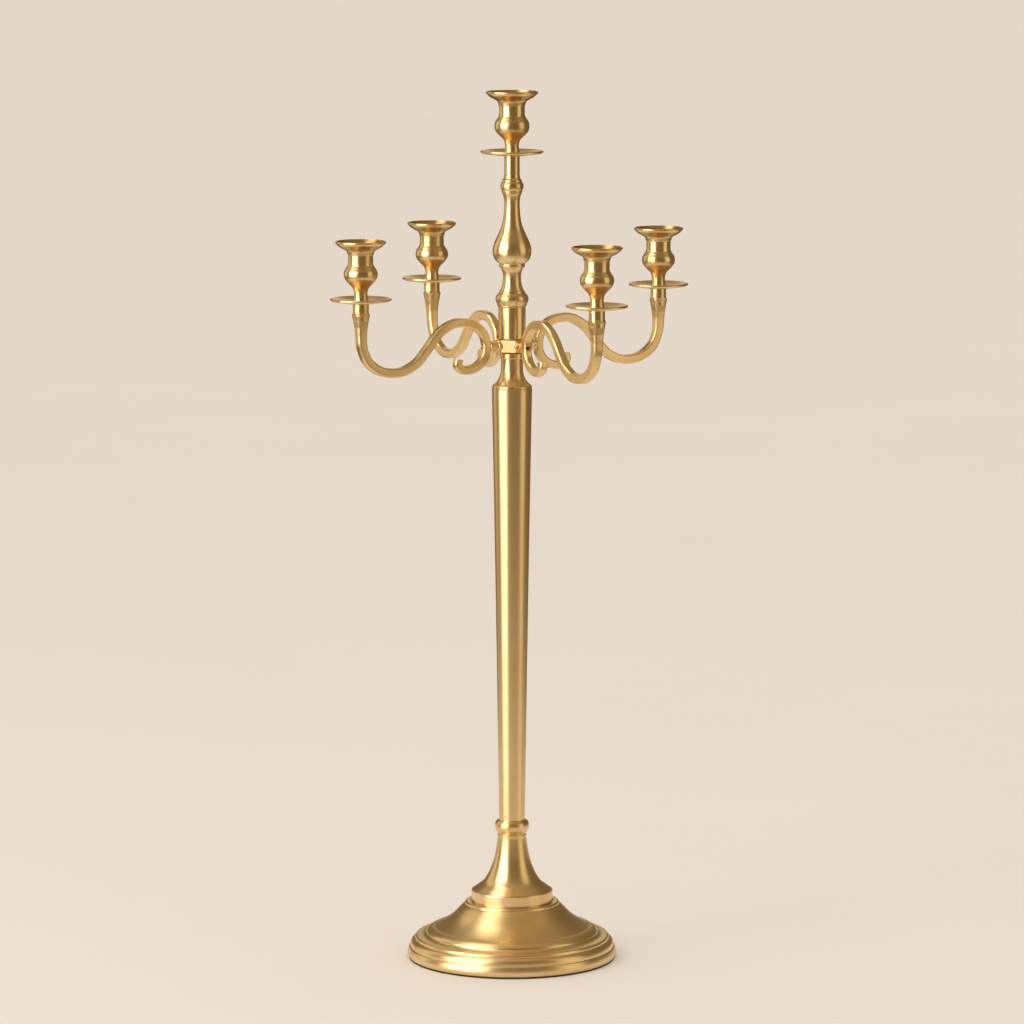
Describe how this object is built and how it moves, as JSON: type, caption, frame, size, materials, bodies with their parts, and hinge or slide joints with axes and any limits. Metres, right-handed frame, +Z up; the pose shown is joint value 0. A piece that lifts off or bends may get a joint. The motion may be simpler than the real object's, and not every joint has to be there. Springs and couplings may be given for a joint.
{
  "type": "candelabra",
  "caption": "Tall brass candelabra: a tapered column on a stepped round foot, square-bar scrolled arms with drip pans and candle cups, and a raised centre cup.",
  "frame": {"origin": "centre of the foot's underside, on the surface it stands on", "axes": "+Z up the column; the arms lie along +X, +Y, -X and -Y"},
  "size_m": [0.4302, 0.4302, 0.9433],
  "materials": {
    "satin_brass": "satin, brushed round the turned pieces and along the arms",
    "bright_steel": "plain drawn steel",
    "cast_iron": "painted black, rough",
    "black_rubber": "matt sheet rubber",
    "dark_fibre": "dark fibre washer"
  },
  "bodies": {
    "stand": {"baluster": "satin_brass", "base_bead": "satin_brass", "base_bell": "satin_brass", "base_dish": "satin_brass", "base_nut": "bright_steel", "base_washer": "bright_steel", "base_weight": "cast_iron", "centre_pan": "satin_brass", "column_cap": "satin_brass", "column_foot_plug": "satin_brass", "column_head_plug": "satin_brass", "column_tube": "satin_brass", "foot_pad": "black_rubber", "hub_journal": "bright_steel", "hub_sleeve": "satin_brass", "hub_washers": "dark_fibre", "sleeve_bead": "satin_brass", "stem_bead": "satin_brass", "stem_top": "satin_brass", "tie_rod": "bright_steel"},
    "arm_ring": {"arm_hub": "satin_brass", "arm_screws": "satin_brass", "arm_1": "satin_brass", "arm_spacer_1": "satin_brass", "arm_pan_1": "satin_brass", "arm_2": "satin_brass", "arm_spacer_2": "satin_brass", "arm_pan_2": "satin_brass", "arm_3": "satin_brass", "arm_spacer_3": "satin_brass", "arm_pan_3": "satin_brass", "arm_4": "satin_brass", "arm_spacer_4": "satin_brass", "arm_pan_4": "satin_brass"},
    "stud_1": {"arm_stud_1": "bright_steel"},
    "cup_1": {"arm_cup_1": "satin_brass"},
    "stud_2": {"arm_stud_2": "bright_steel"},
    "cup_2": {"arm_cup_2": "satin_brass"},
    "stud_3": {"arm_stud_3": "bright_steel"},
    "cup_3": {"arm_cup_3": "satin_brass"},
    "stud_4": {"arm_stud_4": "bright_steel"},
    "cup_4": {"arm_cup_4": "satin_brass"},
    "stud_centre": {"centre_stud": "bright_steel"},
    "cup_centre": {"centre_cup": "satin_brass"}
  },
  "joints": [
    {"name": "arm_ring_turn", "type": "hinge", "parent": "stand", "child": "arm_ring", "pos_m": [0, 0, 0.6705], "axis": [0, 0, 1], "continuous": true},
    {"name": "cup_1_lift", "type": "slide", "parent": "arm_ring", "child": "stud_1", "axis": [0, 0, 1], "range_m": [0, 0.008]},
    {"name": "cup_1_turn", "type": "hinge", "parent": "stud_1", "child": "cup_1", "pos_m": [0.1825, 0, 0.72595], "axis": [0, 0, 1], "range_deg": [0, 2885]},
    {"name": "cup_2_lift", "type": "slide", "parent": "arm_ring", "child": "stud_2", "axis": [0, 0, 1], "range_m": [0, 0.008]},
    {"name": "cup_2_turn", "type": "hinge", "parent": "stud_2", "child": "cup_2", "pos_m": [0, 0.1825, 0.72595], "axis": [0, 0, 1], "range_deg": [0, 2885]},
    {"name": "cup_3_lift", "type": "slide", "parent": "arm_ring", "child": "stud_3", "axis": [0, 0, 1], "range_m": [0, 0.008]},
    {"name": "cup_3_turn", "type": "hinge", "parent": "stud_3", "child": "cup_3", "pos_m": [-0.1825, 0, 0.72595], "axis": [0, 0, 1], "range_deg": [0, 2885]},
    {"name": "cup_4_lift", "type": "slide", "parent": "arm_ring", "child": "stud_4", "axis": [0, 0, 1], "range_m": [0, 0.008]},
    {"name": "cup_4_turn", "type": "hinge", "parent": "stud_4", "child": "cup_4", "pos_m": [0, -0.1825, 0.72595], "axis": [0, 0, 1], "range_deg": [0, 2885]},
    {"name": "cup_centre_lift", "type": "slide", "parent": "stand", "child": "stud_centre", "axis": [0, 0, 1], "range_m": [0, 0.008]},
    {"name": "cup_centre_turn", "type": "hinge", "parent": "stud_centre", "child": "cup_centre", "pos_m": [0, 0, 0.87625], "axis": [0, 0, 1], "range_deg": [0, 2885]}
  ],
  "couplings": [
    {"joint": "cup_1_turn", "follows": "cup_1_lift", "rad_per_m": 6283.2},
    {"joint": "cup_2_turn", "follows": "cup_2_lift", "rad_per_m": 6283.2},
    {"joint": "cup_3_turn", "follows": "cup_3_lift", "rad_per_m": 6283.2},
    {"joint": "cup_4_turn", "follows": "cup_4_lift", "rad_per_m": 6283.2},
    {"joint": "cup_centre_turn", "follows": "cup_centre_lift", "rad_per_m": 6283.2}
  ]
}
